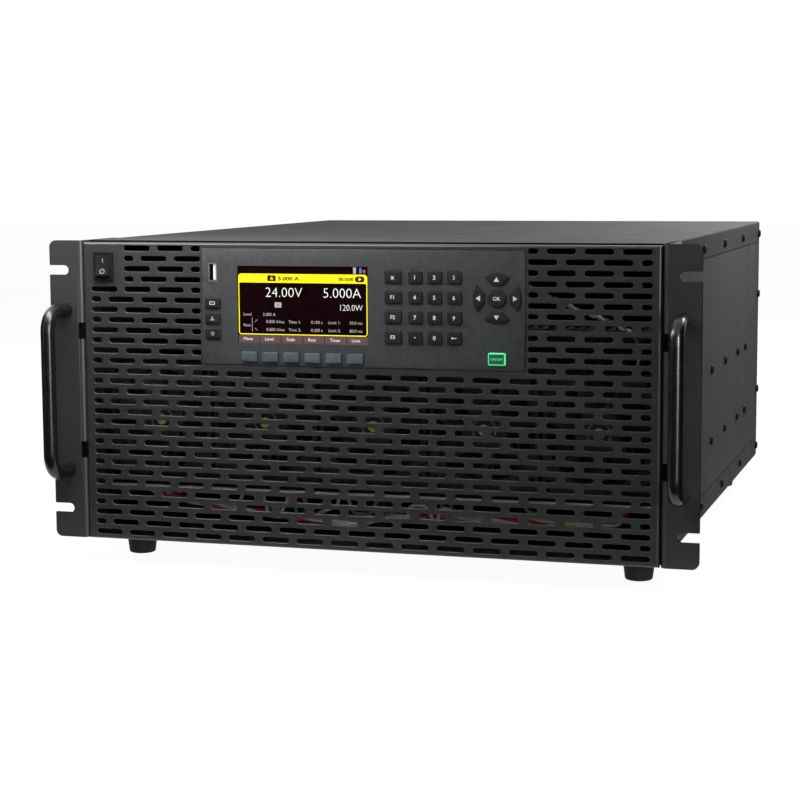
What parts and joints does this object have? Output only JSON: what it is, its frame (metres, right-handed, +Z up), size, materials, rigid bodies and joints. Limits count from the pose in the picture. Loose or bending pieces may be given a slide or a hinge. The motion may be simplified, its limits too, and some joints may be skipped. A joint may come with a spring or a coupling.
{
  "type": "dc electronic load",
  "caption": "Rack-mount DC electronic load: slotted metal front with keypad, display and rocker switch, rack ears with bar handles, cooling fans and rear load terminals.",
  "frame": {"origin": "middle of the object's footprint at the height of the surface that the feet stand on", "axes": "+X to the right seen from the front, +Y from the front to the rear, +Z up"},
  "size_m": [0.4826, 0.6252, 0.2395],
  "materials": {
    "panel_paint": "fine-textured matt paint",
    "cover_paint": "fine-textured matt paint",
    "control_plate": "matt overlay",
    "display_glass": "glossy black glass",
    "green_board": "solder mask",
    "tan_board": "bare laminate",
    "switch_plastic": "satin",
    "handle_enamel": "glossy black",
    "foot_rubber": "matt",
    "black_screws": "black oxide",
    "fan_plastic": "satin",
    "sink_metal": "extruded",
    "wire_sleeve": "satin sleeve",
    "terminal_metal": "nickel plated",
    "inlet_plastic": "satin",
    "key_plastic": "satin",
    "soft_key_plastic": "satin",
    "lit_key": "lit green"
  },
  "bodies": {
    "chassis": {"front_panel": "panel_paint", "control_panel": "control_plate", "display_module": "display_glass", "keypad_board": "green_board", "rocker_housing": "switch_plastic", "left_rack_ear": "panel_paint", "right_rack_ear": "panel_paint", "left_handle": "handle_enamel", "right_handle": "handle_enamel", "top_cover": "cover_paint", "bottom_pan": "cover_paint", "left_side_panel": "cover_paint", "right_side_panel": "cover_paint", "rear_panel": "cover_paint", "rubber_feet": "foot_rubber", "case_screws": "black_screws", "fan_frames": "fan_plastic", "heat_sinks": "sink_metal", "power_board": "tan_board", "interface_board": "green_board", "wiring": "wire_sleeve", "load_terminals": "terminal_metal", "ac_inlet": "inlet_plastic"},
    "power_rocker": {"power_rocker": "switch_plastic"},
    "fan_rotor_1": {"fan_rotor_1": "fan_plastic"},
    "fan_rotor_2": {"fan_rotor_2": "fan_plastic"},
    "fan_rotor_3": {"fan_rotor_3": "fan_plastic"},
    "fan_rotor_4": {"fan_rotor_4": "fan_plastic"},
    "fan_rotor_5": {"fan_rotor_5": "fan_plastic"},
    "load_key": {"load_key": "lit_key"},
    "enter_key": {"enter_key": "key_plastic"},
    "up_key": {"up_key": "key_plastic"},
    "down_key": {"down_key": "key_plastic"},
    "left_key": {"left_key": "key_plastic"},
    "right_key": {"right_key": "key_plastic"},
    "soft_key_1": {"soft_key_1": "soft_key_plastic"},
    "soft_key_2": {"soft_key_2": "soft_key_plastic"},
    "soft_key_3": {"soft_key_3": "soft_key_plastic"},
    "soft_key_4": {"soft_key_4": "soft_key_plastic"},
    "soft_key_5": {"soft_key_5": "soft_key_plastic"},
    "soft_key_6": {"soft_key_6": "soft_key_plastic"},
    "display_key": {"display_key": "key_plastic"},
    "save_key": {"save_key": "key_plastic"},
    "utility_key": {"utility_key": "key_plastic"},
    "escape_key": {"escape_key": "key_plastic"},
    "shortcut_key_1": {"shortcut_key_1": "key_plastic"},
    "shortcut_key_2": {"shortcut_key_2": "key_plastic"},
    "shortcut_key_3": {"shortcut_key_3": "key_plastic"},
    "number_key_0": {"number_key_0": "key_plastic"},
    "number_key_1": {"number_key_1": "key_plastic"},
    "number_key_2": {"number_key_2": "key_plastic"},
    "number_key_3": {"number_key_3": "key_plastic"},
    "number_key_4": {"number_key_4": "key_plastic"},
    "number_key_5": {"number_key_5": "key_plastic"},
    "number_key_6": {"number_key_6": "key_plastic"},
    "number_key_7": {"number_key_7": "key_plastic"},
    "number_key_8": {"number_key_8": "key_plastic"},
    "number_key_9": {"number_key_9": "key_plastic"},
    "point_key": {"point_key": "key_plastic"},
    "backspace_key": {"backspace_key": "key_plastic"}
  },
  "joints": [
    {"name": "power_rocker_tilt", "type": "hinge", "parent": "chassis", "child": "power_rocker", "pos_m": [-0.1975, -0.2704, 0.22075], "axis": [1, 0, 0], "range_deg": [0, 14]},
    {"name": "fan_rotor_1_spin", "type": "hinge", "parent": "chassis", "child": "fan_rotor_1", "pos_m": [-0.166, -0.2444, 0.1053], "axis": [0, 1, 0], "continuous": true},
    {"name": "fan_rotor_2_spin", "type": "hinge", "parent": "chassis", "child": "fan_rotor_2", "pos_m": [-0.083, -0.2444, 0.1053], "axis": [0, 1, 0], "continuous": true},
    {"name": "fan_rotor_3_spin", "type": "hinge", "parent": "chassis", "child": "fan_rotor_3", "pos_m": [0, -0.2444, 0.1053], "axis": [0, 1, 0], "continuous": true},
    {"name": "fan_rotor_4_spin", "type": "hinge", "parent": "chassis", "child": "fan_rotor_4", "pos_m": [0.083, -0.2444, 0.1053], "axis": [0, 1, 0], "continuous": true},
    {"name": "fan_rotor_5_spin", "type": "hinge", "parent": "chassis", "child": "fan_rotor_5", "pos_m": [0.166, -0.2444, 0.1053], "axis": [0, 1, 0], "continuous": true},
    {"name": "load_key_press", "type": "slide", "parent": "chassis", "child": "load_key", "axis": [0, 1, 0], "range_m": [0, 0.001], "stiffness_N_per_m": 400},
    {"name": "enter_key_press", "type": "slide", "parent": "chassis", "child": "enter_key", "axis": [0, 1, 0], "range_m": [0, 0.001], "stiffness_N_per_m": 400},
    {"name": "up_key_press", "type": "slide", "parent": "chassis", "child": "up_key", "axis": [0, 1, 0], "range_m": [0, 0.001], "stiffness_N_per_m": 400},
    {"name": "down_key_press", "type": "slide", "parent": "chassis", "child": "down_key", "axis": [0, 1, 0], "range_m": [0, 0.001], "stiffness_N_per_m": 400},
    {"name": "left_key_press", "type": "slide", "parent": "chassis", "child": "left_key", "axis": [0, 1, 0], "range_m": [0, 0.001], "stiffness_N_per_m": 400},
    {"name": "right_key_press", "type": "slide", "parent": "chassis", "child": "right_key", "axis": [0, 1, 0], "range_m": [0, 0.001], "stiffness_N_per_m": 400},
    {"name": "soft_key_1_press", "type": "slide", "parent": "chassis", "child": "soft_key_1", "axis": [0, 1, 0], "range_m": [0, 0.001], "stiffness_N_per_m": 400},
    {"name": "soft_key_2_press", "type": "slide", "parent": "chassis", "child": "soft_key_2", "axis": [0, 1, 0], "range_m": [0, 0.001], "stiffness_N_per_m": 400},
    {"name": "soft_key_3_press", "type": "slide", "parent": "chassis", "child": "soft_key_3", "axis": [0, 1, 0], "range_m": [0, 0.001], "stiffness_N_per_m": 400},
    {"name": "soft_key_4_press", "type": "slide", "parent": "chassis", "child": "soft_key_4", "axis": [0, 1, 0], "range_m": [0, 0.001], "stiffness_N_per_m": 400},
    {"name": "soft_key_5_press", "type": "slide", "parent": "chassis", "child": "soft_key_5", "axis": [0, 1, 0], "range_m": [0, 0.001], "stiffness_N_per_m": 400},
    {"name": "soft_key_6_press", "type": "slide", "parent": "chassis", "child": "soft_key_6", "axis": [0, 1, 0], "range_m": [0, 0.001], "stiffness_N_per_m": 400},
    {"name": "display_key_press", "type": "slide", "parent": "chassis", "child": "display_key", "axis": [0, 1, 0], "range_m": [0, 0.001], "stiffness_N_per_m": 400},
    {"name": "save_key_press", "type": "slide", "parent": "chassis", "child": "save_key", "axis": [0, 1, 0], "range_m": [0, 0.001], "stiffness_N_per_m": 400},
    {"name": "utility_key_press", "type": "slide", "parent": "chassis", "child": "utility_key", "axis": [0, 1, 0], "range_m": [0, 0.001], "stiffness_N_per_m": 400},
    {"name": "escape_key_press", "type": "slide", "parent": "chassis", "child": "escape_key", "axis": [0, 1, 0], "range_m": [0, 0.001], "stiffness_N_per_m": 400},
    {"name": "shortcut_key_1_press", "type": "slide", "parent": "chassis", "child": "shortcut_key_1", "axis": [0, 1, 0], "range_m": [0, 0.001], "stiffness_N_per_m": 400},
    {"name": "shortcut_key_2_press", "type": "slide", "parent": "chassis", "child": "shortcut_key_2", "axis": [0, 1, 0], "range_m": [0, 0.001], "stiffness_N_per_m": 400},
    {"name": "shortcut_key_3_press", "type": "slide", "parent": "chassis", "child": "shortcut_key_3", "axis": [0, 1, 0], "range_m": [0, 0.001], "stiffness_N_per_m": 400},
    {"name": "number_key_0_press", "type": "slide", "parent": "chassis", "child": "number_key_0", "axis": [0, 1, 0], "range_m": [0, 0.001], "stiffness_N_per_m": 400},
    {"name": "number_key_1_press", "type": "slide", "parent": "chassis", "child": "number_key_1", "axis": [0, 1, 0], "range_m": [0, 0.001], "stiffness_N_per_m": 400},
    {"name": "number_key_2_press", "type": "slide", "parent": "chassis", "child": "number_key_2", "axis": [0, 1, 0], "range_m": [0, 0.001], "stiffness_N_per_m": 400},
    {"name": "number_key_3_press", "type": "slide", "parent": "chassis", "child": "number_key_3", "axis": [0, 1, 0], "range_m": [0, 0.001], "stiffness_N_per_m": 400},
    {"name": "number_key_4_press", "type": "slide", "parent": "chassis", "child": "number_key_4", "axis": [0, 1, 0], "range_m": [0, 0.001], "stiffness_N_per_m": 400},
    {"name": "number_key_5_press", "type": "slide", "parent": "chassis", "child": "number_key_5", "axis": [0, 1, 0], "range_m": [0, 0.001], "stiffness_N_per_m": 400},
    {"name": "number_key_6_press", "type": "slide", "parent": "chassis", "child": "number_key_6", "axis": [0, 1, 0], "range_m": [0, 0.001], "stiffness_N_per_m": 400},
    {"name": "number_key_7_press", "type": "slide", "parent": "chassis", "child": "number_key_7", "axis": [0, 1, 0], "range_m": [0, 0.001], "stiffness_N_per_m": 400},
    {"name": "number_key_8_press", "type": "slide", "parent": "chassis", "child": "number_key_8", "axis": [0, 1, 0], "range_m": [0, 0.001], "stiffness_N_per_m": 400},
    {"name": "number_key_9_press", "type": "slide", "parent": "chassis", "child": "number_key_9", "axis": [0, 1, 0], "range_m": [0, 0.001], "stiffness_N_per_m": 400},
    {"name": "point_key_press", "type": "slide", "parent": "chassis", "child": "point_key", "axis": [0, 1, 0], "range_m": [0, 0.001], "stiffness_N_per_m": 400},
    {"name": "backspace_key_press", "type": "slide", "parent": "chassis", "child": "backspace_key", "axis": [0, 1, 0], "range_m": [0, 0.001], "stiffness_N_per_m": 400}
  ]
}
